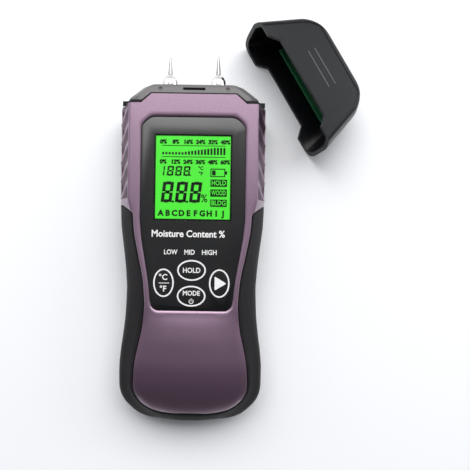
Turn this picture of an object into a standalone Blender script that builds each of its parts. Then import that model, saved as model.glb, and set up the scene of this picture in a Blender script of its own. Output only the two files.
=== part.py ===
"""A pin-type wood moisture meter lying on its back, with its protective cap beside it.

Frame: +X to the right, +Y along the meter towards its pins, +Z out of the display. The origin is
the centre of the flat back, on the surface the meter lies on. Dimensions are in millimetres and
become metres where a mesh is made.
"""

import bisect
import math

import bmesh
import bpy
from mathutils import Matrix, Vector

MM = 0.001

# Overall size
BOTTOM_END = -75.0
SHOULDER = 63.5
HEAD_TOP = 72.9
FRONT = 27.0
PARTING = 10.0
GAP = 0.3
WALL = 2.2
GRIP_THICKNESS = 2.5

# Display and overlay
OVERLAY_TOP = 26.3
OVERLAY_THICKNESS = 0.5
RECESS_FLOOR = 25.5
ROOF_UNDERSIDE = 23.9
WINDOW_HALF_WIDTH = 16.5
WINDOW_BOTTOM = 14.0
WINDOW_TOP = 50.5

# Electronics
BOARD_BOTTOM = 20.6
BOARD_TOP = 22.2

# Keys: name, centre x, centre y, width, height
KEYS = (
    ("hold", 0.0, -7.1, 12.4, 9.1),
    ("unit", -11.8, -12.5, 9.0, 12.3),
    ("next", 11.8, -12.5, 9.0, 12.3),
    ("mode", 0.0, -18.0, 12.4, 9.1),
)
KEY_TOP = 26.6
KEY_WELL_DEPTH = 0.5

# Probes
PIN_X = 10.7
PIN_Z = 14.0
PIN_RADIUS = 1.0
PIN_TIP = 88.7
NUT_TOP = 79.1

# Battery, a standard 9 V block
BATTERY_LENGTH = 48.5
BATTERY_WIDTH = 26.5
BATTERY_HEIGHT = 17.5
BATTERY_BOTTOM_END = -66.5
BATTERY_FLOOR = 2.7
DOOR_HALF_WIDTH = 15.7
DOOR_TOP_END = -18.0
DOOR_THICKNESS = 1.9
TERMINAL_X = 6.35
WIRE_RADIUS = 0.6

# Screws that hold the two shells together
SCREWS = ((-25.0, 55.0), (25.0, 55.0), (-18.0, 3.0), (18.0, 3.0))

# Cap, in its seated place on the meter: s runs from its mouth to its closed end
CAP_LENGTH = 28.5
CAP_HALF_WIDTH = 31.4
CAP_WALL = 1.8
CAP_STRIP = 3.8
CAP_EDGE = 3.0
CAP_SIDE_SLOPE = math.tan(math.radians(18.0))
CAP_TAPER_ANGLE = 9.5
CAP_TAPER = math.tan(math.radians(CAP_TAPER_ANGLE))
CAP_CORNER = 9.5
CAP_BOARD_FLOOR = 6.8
CAP_BOARD_THICKNESS = 1.4
CAP_SCREW_X = 16.2
CAP_SCREW_DEPTH = 16.0
CAP_RIDGES = (12.9, 16.5)
CAP_PLACE = (38.8, 71.4)
CAP_TURN = -59.0

# Smooth profiles along the meter, as (y, value) pairs
HALF_WIDTH = (
    (-75.0, 15.0), (-74.5, 18.2), (-73.7, 20.8), (-72.6, 23.0), (-71.0, 25.1), (-69.0, 27.0),
    (-65.6, 29.6), (-62.0, 31.1), (-58.5, 31.6), (-51.0, 31.6), (-44.0, 31.1), (-37.0, 30.2),
    (-30.0, 29.4), (-22.8, 29.0), (-15.7, 28.8), (-8.6, 29.2), (-1.4, 29.9), (5.7, 30.8),
    (12.8, 31.6), (21.8, 31.9), (41.0, 32.0), (63.5, 32.0),
)
FRONT_HALF_WIDTH = (
    (-75.0, 7.0), (-72.0, 12.5), (-69.0, 16.5), (-66.0, 19.5), (-62.0, 22.8), (-58.0, 24.5),
    (-52.0, 24.4), (-40.0, 22.6), (-33.0, 21.0), (-24.0, 20.0), (-20.0, 20.0), (-11.0, 20.8),
    (7.5, 24.5), (17.0, 25.8), (24.0, 27.3), (63.5, 27.3),
)
FRONT_HEIGHT = (
    (-75.0, 13.5), (-74.3, 15.5), (-72.5, 18.3), (-70.0, 20.9), (-66.5, 23.4), (-62.0, 25.4),
    (-55.0, 27.3), (-46.0, 28.2), (-38.0, 28.3), (-30.0, 27.8), (-24.5, 27.0), (63.5, 27.0),
)
CROWN = ((-75.0, 1.2), (-70.0, 2.2), (-60.0, 2.6), (-40.0, 2.0), (-30.0, 1.0), (-24.0, 0.0), (63.5, 0.0))
BACK_HEIGHT = ((-75.0, 4.0), (-74.0, 2.4), (-72.5, 1.0), (-70.0, 0.0), (63.5, 0.0))

# Plan outlines, right half only, listed from the top centre round to the bottom centre
PANEL_OUTLINE = (
    (18.0, 57.8), (22.2, 54.0), (22.2, 14.0), (21.4, 6.0), (20.0, -2.3), (18.3, -12.2),
    (17.5, -19.8), (16.9, -22.6), (15.0, -24.2),
)
GRIP_INNER_EDGE = (
    (25.4, 17.0), (24.5, 7.5), (22.6, -2.0), (20.8, -11.0), (20.0, -20.0), (20.0, -24.0),
    (21.0, -33.0), (22.6, -40.0), (23.8, -46.0), (24.4, -52.0), (24.5, -58.0), (22.8, -62.5),
    (19.5, -66.2), (14.5, -68.8), (7.5, -69.8),
)
TONGUE_FRONT = ((17.9, 67.4), (22.7, 63.2), (22.7, 60.0))
TONGUE_BACK = ((15.3, 67.4), (20.1, 63.2), (20.1, 60.0))


def along(table, y):
    """The value at y of a smooth curve through (y, value) pairs that never overshoots them."""
    spots = [pair[0] for pair in table]
    values = [pair[1] for pair in table]
    slopes = [
        (v1 - v0) / (y1 - y0) for (y0, v0), (y1, v1) in zip(table, table[1:])
    ]

    def tangent(index):
        if index in (0, len(table) - 1):
            return slopes[min(index, len(slopes) - 1)]
        before, after = slopes[index - 1], slopes[index]
        if before * after <= 0.0:
            return 0.0
        return 2.0 * before * after / (before + after)

    y = min(max(y, spots[0]), spots[-1])
    index = min(bisect.bisect_right(spots, y) - 1, len(table) - 2)
    width = spots[index + 1] - spots[index]
    t = (y - spots[index]) / width
    return (
        (2 * t**3 - 3 * t**2 + 1) * values[index]
        + (t**3 - 2 * t**2 + t) * width * tangent(index)
        + (3 * t**2 - 2 * t**3) * values[index + 1]
        + (t**3 - t**2) * width * tangent(index + 1)
    )


def mesh_object(name, bm, place=(0.0, 0.0, 0.0)):
    """An object from a closed bmesh in millimetres, with its origin at place."""
    bmesh.ops.translate(bm, vec=-Vector(place), verts=bm.verts)
    bmesh.ops.scale(bm, vec=(MM, MM, MM), verts=bm.verts)
    bmesh.ops.recalc_face_normals(bm, faces=bm.faces)
    mesh = bpy.data.meshes.new(name)
    bm.to_mesh(mesh)
    bm.free()
    mesh.shade_smooth()
    mesh.set_sharp_from_angle(angle=math.radians(30.0))
    obj = bpy.data.objects.new(name, mesh)
    obj.location = Vector(place) * MM
    bpy.context.scene.collection.objects.link(obj)
    return obj


def loft(name, rings, place=(0.0, 0.0, 0.0)):
    """A closed solid through rings with equal numbers of points, capped at both ends."""
    bm = bmesh.new()
    loops = [[bm.verts.new(point) for point in ring] for ring in rings]
    for low, high in zip(loops, loops[1:]):
        for index in range(len(low)):
            after = (index + 1) % len(low)
            bm.faces.new((low[index], low[after], high[after], high[index]))
    bm.faces.new(list(reversed(loops[0])))
    bm.faces.new(loops[-1])
    return mesh_object(name, bm, place)


def mirrored(half):
    """A closed plan outline from the points of its right half."""
    return list(half) + [(-x, y) for x, y in reversed(half)]


def grown(outline, distance):
    """The outline moved outwards by a distance, or inwards by a negative one."""
    points = [Vector(point) for point in outline]
    area = sum(a.cross(b) for a, b in zip(points, points[1:] + points[:1]))
    turn = 1.0 if area > 0.0 else -1.0
    moved = []
    for before, point, after in zip(points[-1:] + points[:-1], points, points[1:] + points[:1]):
        normals = [
            Vector((edge.y, -edge.x)).normalized() * turn
            for edge in (point - before, after - point)
        ]
        middle = (normals[0] + normals[1]).normalized()
        moved.append(tuple(point + middle * (distance / max(middle.dot(normals[0]), 0.4))))
    return moved


def prism(name, outline, low, high, place=(0.0, 0.0, 0.0)):
    """A straight solid over a plan outline, from height low to height high."""
    return loft(name, [[(x, y, z) for x, y in outline] for z in (low, high)], place)


def rectangle(x0, x1, y0, y1, corner=0.0, steps=3):
    """A plan rectangle, with round corners where corner is given."""
    if corner == 0.0:
        return [(x0, y0), (x1, y0), (x1, y1), (x0, y1)]
    points = []
    for cx, cy, start in (
        (x1 - corner, y1 - corner, 0), (x0 + corner, y1 - corner, 90),
        (x0 + corner, y0 + corner, 180), (x1 - corner, y0 + corner, 270),
    ):
        for step in range(steps + 1):
            angle = math.radians(start + 90.0 * step / steps)
            points.append((cx + corner * math.cos(angle), cy + corner * math.sin(angle)))
    return points


def box(name, x, y, z, place=(0.0, 0.0, 0.0)):
    """A block between the two values of each pair."""
    return prism(name, rectangle(x[0], x[1], y[0], y[1]), z[0], z[1], place)


def ellipse(cx, cy, width, height, count=32):
    """A plan ellipse, given by its full width and height."""
    return [
        (cx + width / 2 * math.cos(math.tau * i / count), cy + height / 2 * math.sin(math.tau * i / count))
        for i in range(count)
    ]


def turned(name, profile, axis, count=24, place=(0.0, 0.0, 0.0)):
    """A solid of revolution. profile lists (radius, distance along the axis) from end to end.

    axis is "Y" for a piece along the meter or "Z" for one across its thickness, and place is on it.
    """
    rings = []
    for radius, distance in profile:
        ring = []
        for i in range(count):
            a = radius * math.cos(math.tau * i / count)
            b = radius * math.sin(math.tau * i / count)
            ring.append((a, distance, b) if axis == "Y" else (a, b, distance))
        rings.append(ring)
    offset = (place[0], 0.0, place[2]) if axis == "Y" else (place[0], place[1], 0.0)
    rings = [[tuple(Vector(point) + Vector(offset)) for point in ring] for ring in rings]
    return loft(name, rings, place)


def combine(target, tool, operation="DIFFERENCE"):
    """Cuts, joins or intersects the target with a tool that isn't itself part of the object."""
    modifier = target.modifiers.new(tool.name, "BOOLEAN")
    modifier.operation = operation
    modifier.object = tool
    tool.hide_render = True
    tool.display_type = "WIRE"
    return target


def finish(obj, colour, roughness, metallic=0.0, alpha=1.0):
    """Gives the object its own material."""
    material = bpy.data.materials.new(obj.name)
    material.use_nodes = True
    shader = material.node_tree.nodes["Principled BSDF"]
    shader.inputs["Base Color"].default_value = (*colour, 1.0)
    shader.inputs["Roughness"].default_value = roughness
    shader.inputs["Metallic"].default_value = metallic
    shader.inputs["Alpha"].default_value = alpha
    obj.data.materials.append(material)
    return obj


PURPLE = (0.32, 0.24, 0.30)
HEAD_GREY = (0.15, 0.145, 0.15)
BLACK_PLASTIC = (0.02, 0.02, 0.022)
GRIP_BLACK = (0.045, 0.04, 0.05)
CAP_BLACK = (0.05, 0.055, 0.06)
PRINT_BLACK = (0.012, 0.012, 0.013)
BOARD_GREEN = (0.02, 0.12, 0.05)
STEEL = (0.6, 0.6, 0.6)
BRASS = (0.75, 0.55, 0.25)
WIRE_RED = (0.5, 0.05, 0.04)


def section(half_width, front_half_width, back, front, crown=0.0, upright=0.60):
    """Points round a cross-section of the body or the cap: flat back, side upright to a fraction
    of the height, sloping strip, then a front that may rise by the crown to its middle."""
    height = front - back
    edge = front - crown
    right = [
        (half_width - 5.0, back),
        (half_width - 2.0, back + 0.045 * height),
        (half_width - 0.5, back + 0.15 * height),
        (half_width, back + 0.33 * height),
        (half_width, back + upright * height),
        (front_half_width + 0.45 * (half_width - front_half_width), edge - 0.4 * (1.0 - upright) * height),
        (front_half_width, edge),
        (front_half_width * 0.72, edge + crown * 0.50),
        (front_half_width * 0.38, edge + crown * 0.88),
    ]
    return right + [(-x, z) for x, z in reversed(right)]


def body_section(y, inset=0.0, roof=None):
    """The meter's cross-section at y, inset from the surface, with a flat roof if given."""
    back = along(BACK_HEIGHT, y) + inset
    front = along(FRONT_HEIGHT, y) - inset if roof is None else roof
    crown = along(CROWN, y) if roof is None else 0.0
    half_width = along(HALF_WIDTH, y) - inset
    points = section(half_width, along(FRONT_HALF_WIDTH, y) - inset * 0.6, back, front, crown)
    return [(x, y, z) for x, z in points]


def stations(start, stop):
    """Places along the meter, close together at its round bottom end."""
    near = [BOTTOM_END + step for step in (0.0, 0.5, 1.2, 2.2, 3.6, 5.4, 8.0, 11.0, 15.0)]
    far = [-56.0 + 5.0 * step for step in range(24)]
    return [start] + [y for y in near + far if start + 0.2 < y < stop - 0.2] + [stop]


def whole_body(name, inset=0.0, start=BOTTOM_END, stop=SHOULDER):
    """The meter's whole outer form as one solid, or the same form inset."""
    return loft(name, [body_section(y, inset) for y in stations(start, stop)])


def half_space(name, low, high):
    return box(name, (-60.0, 60.0), (-90.0, 90.0), (low, high))


def front_outline(distance):
    """The edge where the front shell meets the grip, moved outwards by a distance."""
    above_grip = [(45.0, 80.0), (45.0, 29.8)]
    return grown(mirrored(above_grip + list(GRIP_INNER_EDGE)), distance)


def make_front_shell():
    """Metallic front half: visible front and upper sides, flanks hidden by the grip, a recess
    for the overlay, and screw posts."""
    shell = whole_body("front_shell")
    visible = prism("front_visible_zone", front_outline(-GAP / 2), -5.0, 45.0)
    combine(shell, visible, "INTERSECT")
    flanks = whole_body("front_flanks", GRIP_THICKNESS + GAP, BOTTOM_END + GRIP_THICKNESS + GAP, 30.0)
    combine(shell, flanks, "UNION")
    tongue = prism("front_tongue", mirrored(TONGUE_FRONT), 24.9, FRONT)
    combine(shell, tongue, "UNION")
    combine(shell, half_space("below_front_shell", -5.0, PARTING + GAP / 2))
    combine(shell, front_cavity("front_cavity"))
    combine(shell, box("battery_roof_cut", (-13.9, 13.9), (-67.0, -14.0), (5.0, 20.6)))
    combine(shell, prism("panel_room", grown(mirrored(PANEL_OUTLINE), -1.5), 5.0, ROOF_UNDERSIDE))
    combine(shell, panel_recess("panel_recess"))
    combine(shell, box("display_opening", (-18.6, 18.6), (12.4, 53.6), (20.0, 30.0)))
    for name, x, y, width, height in KEYS:
        well = ellipse(x, y, width + 2 * GAP, height + 2 * GAP)
        combine(shell, prism(f"key_well_{name}", well, RECESS_FLOOR - KEY_WELL_DEPTH, OVERLAY_TOP))
        combine(shell, turned(f"plunger_hole_{name}", ((2.1, 20.0), (2.1, 30.0)), "Z", 16, (x, y, 0.0)))
    for index, (x, y) in enumerate(SCREWS):
        profile = ((3.2, PARTING + GAP / 2), (3.2, ROOF_UNDERSIDE + 1.0))
        post = turned(f"post_{index}", profile, "Z", 16, (x, y, 0.0))
        combine(shell, post, "UNION")
        bore = turned(f"post_bore_{index}", ((1.6, 5.0), (1.6, 19.0)), "Z", 16, (x, y, 0.0))
        combine(shell, bore)
    return finish(shell, PURPLE, 0.38, 0.35)


def front_cavity(name):
    """The hollow inside the front shell: thinner walls above the grip than behind it."""
    rings = []
    for y in stations(BOTTOM_END + 5.2, SHOULDER + 5.0):
        inset = GRIP_THICKNESS + GAP + WALL if y < 24.0 else WALL
        roof = min(along(FRONT_HEIGHT, y) - inset, ROOF_UNDERSIDE)
        rings.append(body_section(min(y, SHOULDER), inset, roof))
        rings[-1] = [(x, y, z) for x, _, z in rings[-1]]
    return loft(name, rings)


def panel_recess(name):
    """The stepped recess that holds the overlay, with a sloping lip round it."""
    floor = grown(mirrored(PANEL_OUTLINE), GAP)
    lip = grown(mirrored(PANEL_OUTLINE), GAP + 1.2)
    return loft(name, [
        [(x, y, z) for x, y in outline]
        for outline, z in ((floor, RECESS_FLOOR), (floor, OVERLAY_TOP), (lip, FRONT + 0.4), (lip, 35.0))
    ])


def make_back_shell():
    """Black back half with a flat back, screw wells and the opening under the battery."""
    shell = whole_body("back_shell")
    tongue = prism("back_tongue", mirrored(TONGUE_BACK), 0.0, 2.2)
    combine(shell, tongue, "UNION")
    combine(shell, half_space("above_back_shell", PARTING - GAP / 2, 45.0))
    rings = [
        [(x, y, z) for x, _, z in body_section(min(y, SHOULDER), WALL, 20.0)]
        for y in stations(BOTTOM_END + WALL + 1.0, SHOULDER + 5.0)
    ]
    hollow = loft("back_cavity", rings)
    combine(hollow, box("compartment_floor", (-22.0, 22.0), (-90.0, -14.0), (-5.0, 3.4)))
    for index, (x, y) in enumerate(SCREWS):
        combine(hollow, turned(f"boss_{index}", ((4.4, -2.0), (4.4, 30.0)), "Z", 20, (x, y, 0.0)))
    combine(shell, hollow)
    combine(shell, box("door_bay", (-16.0, 16.0), (-90.0, DOOR_TOP_END + GAP), (-5.0, 2.2)))
    combine(shell, box("battery_window", (-13.9, 13.9), (-67.0, -17.5), (-5.0, 5.0)))
    for index, (x, y) in enumerate(SCREWS):
        profile = ((3.0, -2.0), (3.0, 4.0), (1.6, 4.01), (1.6, 20.0))
        well = turned(f"well_{index}", profile, "Z", 20, (x, y, 0.0))
        combine(shell, well)
    return finish(shell, BLACK_PLASTIC, 0.5)


def make_grip():
    """Soft U-shaped overmould round the waist, sides and bottom end."""
    grip = whole_body("grip_cover")
    zone = prism("grip_zone", rectangle(-45.0, 45.0, -90.0, 30.0), PARTING + GAP / 2, 45.0)
    combine(grip, zone, "INTERSECT")
    combine(grip, prism("grip_front_gap", front_outline(GAP / 2), -5.0, 45.0))
    combine(grip, whole_body("grip_core", GRIP_THICKNESS, BOTTOM_END + GRIP_THICKNESS, 40.0))
    return finish(grip, GRIP_BLACK, 0.62)


def head_section(y, half_width, back, front):
    """Points round a cross-section of the head: flat front and back with chamfered corners."""
    right = (
        (half_width - 3.0, back), (half_width, back + 3.0),
        (half_width, front - 5.0), (half_width - 4.0, front),
    )
    return [(x, y, z) for x, z in right] + [(-x, y, z) for x, z in reversed(right)]


def make_head():
    """Dark grey pin carrier, with a plug that reaches into the shells and a snap slot."""
    head = loft("probe_head", [head_section(*station) for station in (
        (65.3, 28.2, 4.0, 23.8), (67.4, 28.0, 4.2, 23.6), (68.9, 26.6, 4.4, 23.4), (70.3, 25.0, 4.6, 23.1),
        (71.6, 23.2, 4.9, 22.6), (72.5, 21.6, 5.3, 22.1), (HEAD_TOP, 20.6, 6.0, 21.4),
    )])
    plug = loft("head_plug", [head_section(y, 20.5, 5.0, 22.0) for y in (60.0, 66.0)])
    combine(head, plug, "UNION")
    combine(head, box("head_hollow", (-17.5, 17.5), (50.0, 66.5), (7.0, 20.0)))
    combine(head, box("snap_slot", (-4.8, 4.8), (70.2, 71.2), (21.4, 30.0)))
    for side in (-1, 1):
        bore = turned(f"socket_bore_{side}", ((2.9, 60.0), (2.9, 80.0)), "Y", 16, (side * PIN_X, 0.0, PIN_Z))
        combine(head, bore)
    return finish(head, HEAD_GREY, 0.42, 0.2)


def make_gasket():
    """Black sealing frame between the head and the shoulders of the shells."""
    outer = [(x, 0.0, z) for x, _, z in body_section(SHOULDER, 1.0)]
    inner = [(x, 0.0, z) for x, _, z in head_section(0.0, 20.8, 4.7, 22.3)]
    gasket = loft("head_gasket", [[(x, y, z) for x, _, z in outer] for y in (SHOULDER + GAP, 65.0)])
    combine(gasket, loft("gasket_hole", [[(x, y, z) for x, _, z in inner] for y in (60.0, 70.0)]))
    front = prism("gasket_front_cut", mirrored(((19.0, 68.0), (24.0, 62.0))), 24.6, 40.0)
    combine(gasket, front)
    combine(gasket, prism("gasket_back_cut", mirrored(((16.5, 68.0), (21.5, 62.0))), -5.0, 2.5))
    return finish(gasket, BLACK_PLASTIC, 0.7)


def make_overlay():
    """Glossy black printed overlay with a window opening and a hole for each key."""
    panel = prism("overlay_panel", mirrored(PANEL_OUTLINE), OVERLAY_TOP - OVERLAY_THICKNESS, OVERLAY_TOP)
    opening = rectangle(
        -WINDOW_HALF_WIDTH - GAP, WINDOW_HALF_WIDTH + GAP, WINDOW_BOTTOM - GAP, WINDOW_TOP + GAP, 1.3
    )
    combine(panel, prism("window_cut", opening, 20.0, 30.0))
    for name, x, y, width, height in KEYS:
        hole = prism(f"key_hole_{name}", ellipse(x, y, width + 2 * GAP, height + 2 * GAP), 20.0, 30.0)
        combine(panel, hole)
    finish(panel, PRINT_BLACK, 0.16)
    lens = rectangle(-WINDOW_HALF_WIDTH, WINDOW_HALF_WIDTH, WINDOW_BOTTOM, WINDOW_TOP, 1.0)
    window = prism("lcd_window", lens, OVERLAY_TOP - OVERLAY_THICKNESS, OVERLAY_TOP)
    return finish(window, (0.9, 0.95, 0.9), 0.08, 0.0, 0.3)


def make_keys():
    """Each key: an oval top and the plunger under it, which move together, above a fixed switch."""
    for name, x, y, width, height in KEYS:
        low = OVERLAY_TOP - OVERLAY_THICKNESS
        rings = [
            [(px, py, z) for px, py in ellipse(x, y, width - shrink, height - shrink)]
            for shrink, z in ((0.0, low), (0.0, KEY_TOP - 0.15), (0.4, KEY_TOP))
        ]
        key = loft(f"key_{name}", rings, (x, y, low))
        finish(key, PRINT_BLACK, 0.22)
        plunger = turned(f"plunger_{name}", ((1.6, 24.2), (1.6, low - GAP)), "Z", 16, (x, y, 24.2))
        finish(plunger, (0.7, 0.7, 0.68), 0.5)
        switch = box(
            f"switch_{name}", (x - 3.0, x + 3.0), (y - 3.0, y + 3.0), (BOARD_TOP + GAP, 23.7), (x, y, 22.5)
        )
        finish(switch, (0.08, 0.08, 0.08), 0.45)


def make_display():
    """Display glass, its backlight, the strip that connects it and the frame that holds them."""
    glass = prism("lcd_glass", rectangle(-18.2, 18.2, 12.8, 53.2), 24.2, 25.4)
    finish(glass, (0.08, 0.75, 0.04), 0.2)
    light = box("backlight", (-17.0, 17.0), (13.5, 50.6), (BOARD_TOP + GAP, 23.7))
    finish(light, (0.85, 0.9, 0.85), 0.4)
    strip = box("zebra_strip", (-16.0, 16.0), (51.1, 52.4), (BOARD_TOP + GAP, 23.8))
    finish(strip, (0.2, 0.2, 0.22), 0.7)
    frame = prism("lcd_frame", rectangle(-19.4, 19.4, 11.9, 54.1), BOARD_TOP + GAP, 23.6)
    combine(frame, box("frame_cut", (-17.4, 17.4), (13.1, 52.8), (20.0, 26.0)))
    finish(frame, BLACK_PLASTIC, 0.55)


def make_board():
    """Main circuit board and its controller."""
    board = prism("main_board", rectangle(-20.0, 20.0, 11.0, 56.0), BOARD_BOTTOM, BOARD_TOP)
    lower = prism("board_lower", rectangle(-15.0, 15.0, -22.3, 20.0), BOARD_BOTTOM, BOARD_TOP)
    combine(board, lower, "UNION")
    for index, (x, y) in enumerate(SCREWS):
        combine(board, turned(f"board_notch_{index}", ((3.7, 15.0), (3.7, 30.0)), "Z", 16, (x, y, 0.0)))
    finish(board, BOARD_GREEN, 0.4)
    chip = box("controller_chip", (-5.0, 5.0), (22.0, 32.0), (18.6, BOARD_BOTTOM - GAP))
    finish(chip, (0.03, 0.03, 0.03), 0.4)


def tube(name, points, radius, colour):
    """An insulated wire through the given points."""
    curve = bpy.data.curves.new(name, "CURVE")
    curve.dimensions = "3D"
    curve.bevel_depth = radius * MM
    curve.bevel_resolution = 2
    curve.use_fill_caps = True
    spline = curve.splines.new("POLY")
    spline.points.add(len(points) - 1)
    for target, point in zip(spline.points, points):
        target.co = (*(Vector(point) * MM), 1.0)
    wire = bpy.data.objects.new(name, curve)
    bpy.context.scene.collection.objects.link(wire)
    return finish(wire, colour, 0.5)


def bent(start, bow, stop, steps=8):
    """Points of a smooth bend from start to stop, drawn towards bow."""
    start, bow, stop = Vector(start), Vector(bow), Vector(stop)
    return [
        tuple(start * (1 - t) ** 2 + bow * 2 * t * (1 - t) + stop * t**2)
        for t in (step / steps for step in range(steps + 1))
    ]


def make_probes():
    """Two steel pins in brass sockets, each held by a hexagonal nut, with a wire to the board."""
    for side, label in ((-1, "left"), (1, "right")):
        x = side * PIN_X
        place = (x, 76.0, PIN_Z)
        pin = turned(f"pin_{label}", (
            (PIN_RADIUS, 67.5), (PIN_RADIUS, 79.6), (0.85, 82.0), (0.5, 86.0), (0.06, PIN_TIP),
        ), "Y", 20, place)
        finish(pin, STEEL, 0.22, 1.0)
        corners = [math.radians(60.0 * corner + 30.0) for corner in range(6)]
        nut = loft(f"pin_nut_{label}", [
            [(x + radius * math.cos(angle), y, PIN_Z + radius * math.sin(angle)) for angle in corners]
            for radius, y in ((3.3, 73.3), (3.75, 73.8), (3.75, 77.2), (3.2, 78.4), (2.1, NUT_TOP))
        ], place)
        combine(nut, turned(f"nut_bore_{label}", ((1.3, 70.0), (1.3, 85.0)), "Y", 16, place))
        finish(nut, STEEL, 0.25, 1.0)
        socket = turned(f"pin_socket_{label}", ((2.6, 67.0), (2.6, 72.6)), "Y", 20, place)
        combine(socket, turned(f"sleeve_bore_{label}", ((1.3, 60.0), (1.3, 80.0)), "Y", 16, place))
        finish(socket, BRASS, 0.3, 1.0)
        line = bent((x, 66.3, PIN_Z), (x, 58.0, 13.0), (x + side, 54.0, 19.8))
        tube(f"pin_lead_{label}", line, WIRE_RADIUS, WIRE_RED)


def make_battery():
    """9 V battery, its snap connector and leads, and the sliding door under it."""
    end = BATTERY_BOTTOM_END + BATTERY_LENGTH - 2.0
    top = BATTERY_FLOOR + BATTERY_HEIGHT
    half = BATTERY_WIDTH / 2
    middle = BATTERY_FLOOR + BATTERY_HEIGHT / 2
    block = rectangle(-half, half, BATTERY_FLOOR, top, 2.0)
    battery = loft("battery", [[(x, y, z) for x, z in block] for y in (BATTERY_BOTTOM_END, end)])
    for side, radius in ((-1, 2.8), (1, 3.8)):
        place = (side * TERMINAL_X, 0.0, middle)
        terminal = turned(f"terminal_{side}", ((radius, end - 1.0), (radius, end + 2.0)), "Y", 16, place)
        combine(battery, terminal, "UNION")
    finish(battery, (0.12, 0.12, 0.13), 0.35, 0.4)
    snap = rectangle(-12.5, 12.5, middle - 6.0, middle + 6.0, 3.0)
    low = end + 2.0 + GAP
    connector = loft("battery_snap", [[(x, y, z) for x, z in snap] for y in (low, low + 2.6)])
    finish(connector, BLACK_PLASTIC, 0.5)
    for side, label, colour in ((-1, "black", BLACK_PLASTIC), (1, "red", WIRE_RED)):
        start = (side * TERMINAL_X, low + 2.6 + GAP, middle)
        line = bent(start, (side * TERMINAL_X, -4.0, middle), (side * 7.0, -2.0, 19.8))
        tube(f"battery_lead_{label}", line, WIRE_RADIUS, colour)
    door = whole_body("battery_door")
    zone = prism(
        "door_zone", rectangle(-DOOR_HALF_WIDTH, DOOR_HALF_WIDTH, -90.0, DOOR_TOP_END), -5.0, DOOR_THICKNESS
    )
    combine(door, zone, "INTERSECT")
    for step in range(5):
        y = -31.0 + 1.6 * step
        combine(door, box(f"thumb_groove_{step}", (-6.0, 6.0), (y, y + 0.8), (-1.0, 0.6)))
    finish(door, BLACK_PLASTIC, 0.5)


def make_screws():
    """Four pan-head screws driven from the back."""
    for index, (x, y) in enumerate(SCREWS):
        screw = turned(f"shell_screw_{index + 1}", (
            (2.2, 1.4), (2.7, 1.9), (2.7, 3.7), (1.25, 3.71), (1.25, 16.5), (0.5, 17.5),
        ), "Z", 16, (x, y, 1.4))
        slot = box(f"screw_slot_{index}", (x - 1.6, x + 1.6), (y - 0.3, y + 0.3), (0.0, 2.3))
        combine(screw, slot)
        combine(screw, box(f"screw_cross_{index}", (x - 0.3, x + 0.3), (y - 1.6, y + 1.6), (0.0, 2.3)))
        finish(screw, STEEL, 0.35, 1.0)


def cap_section(s, inset=0.0):
    """The cap's cross-section at a distance s from its mouth, in the cap's own frame."""
    round_start = CAP_LENGTH - CAP_CORNER
    corner = CAP_CORNER - math.sqrt(max(CAP_CORNER**2 - max(s - round_start, 0.0) ** 2, 0.0))
    half_width = CAP_HALF_WIDTH - CAP_SIDE_SLOPE * s - corner - inset
    edge = CAP_EDGE - math.sqrt(max(CAP_EDGE**2 - max(s - CAP_LENGTH + CAP_EDGE, 0.0) ** 2, 0.0))
    back = CAP_TAPER * s + edge * 0.5 + inset
    front = FRONT - CAP_TAPER * s - edge - inset
    points = section(half_width, half_width - CAP_STRIP + inset * 0.4, back, front, 0.0, 0.76)
    return [(x, s, z) for x, z in points]


def cap_form(name, inset, start, stop):
    """The cap's outer form, or its hollow when inset."""
    spots = [0.0, 3.0, 9.0, 15.0, 19.0, 21.5, 23.6, 25.2, 26.4, 27.3, 28.0, 28.35, CAP_LENGTH]
    inner = [s for s in spots if start + 0.1 < s < stop - 0.1]
    rings = [cap_section(max(s, 0.0), inset) for s in [start] + inner + [stop]]
    rings[0] = [(x, start, z) for x, _, z in rings[0]]
    return loft(name, rings)


def make_cap():
    """Protective cap lying on its sloping back beside the meter, with two grip ridges across its
    front and its check board inside."""
    base = bpy.data.objects.new("cap_base", None)
    bpy.context.scene.collection.objects.link(base)
    shell = cap_form("cap_shell", 0.0, 0.0, CAP_LENGTH)
    tools = [
        cap_form("cap_hollow", CAP_WALL, -4.0, CAP_LENGTH - CAP_WALL),
        prism("cap_front_notch", mirrored(((18.2, 4.2), (23.2, -0.8))), 14.0, 40.0),
        prism("cap_back_notch", mirrored(((15.6, 4.2), (20.6, -0.8))), -10.0, 14.0),
    ]
    for tool in tools:
        combine(shell, tool)
    for index, start in enumerate(CAP_RIDGES):
        ridge = loft(f"cap_ridge_{index}", [
            [
                (x, s, FRONT - CAP_TAPER * s + lift)
                for s, lift in ((start, -0.5), (start, 0.2), (start + 0.5, 0.2), (start + 0.5, -0.5))
            ]
            for x in (-8.9, 8.9)
        ])
        combine(shell, ridge, "UNION")
        tools.append(ridge)
    for side in (-1, 1):
        place = (side * CAP_SCREW_X, CAP_SCREW_DEPTH, 0.0)
        boss = turned(f"cap_boss_{side}", ((2.4, 3.0), (2.4, CAP_BOARD_FLOOR)), "Z", 16, place)
        combine(shell, boss, "UNION")
        bore = turned(f"cap_bore_{side}", ((1.1, 4.6), (1.1, 9.0)), "Z", 16, place)
        combine(shell, bore)
        tools += [boss, bore]
    finish(shell, CAP_BLACK, 0.36)
    pieces = [shell] + tools + make_check_board()
    base.matrix_world = (
        Matrix.Translation(Vector((*CAP_PLACE, 0.0)) * MM)
        @ Matrix.Rotation(math.radians(CAP_TURN), 4, "Z")
        @ Matrix.Rotation(math.radians(-CAP_TAPER_ANGLE), 4, "X")
    )
    for piece in pieces:
        piece.parent = base


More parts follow.
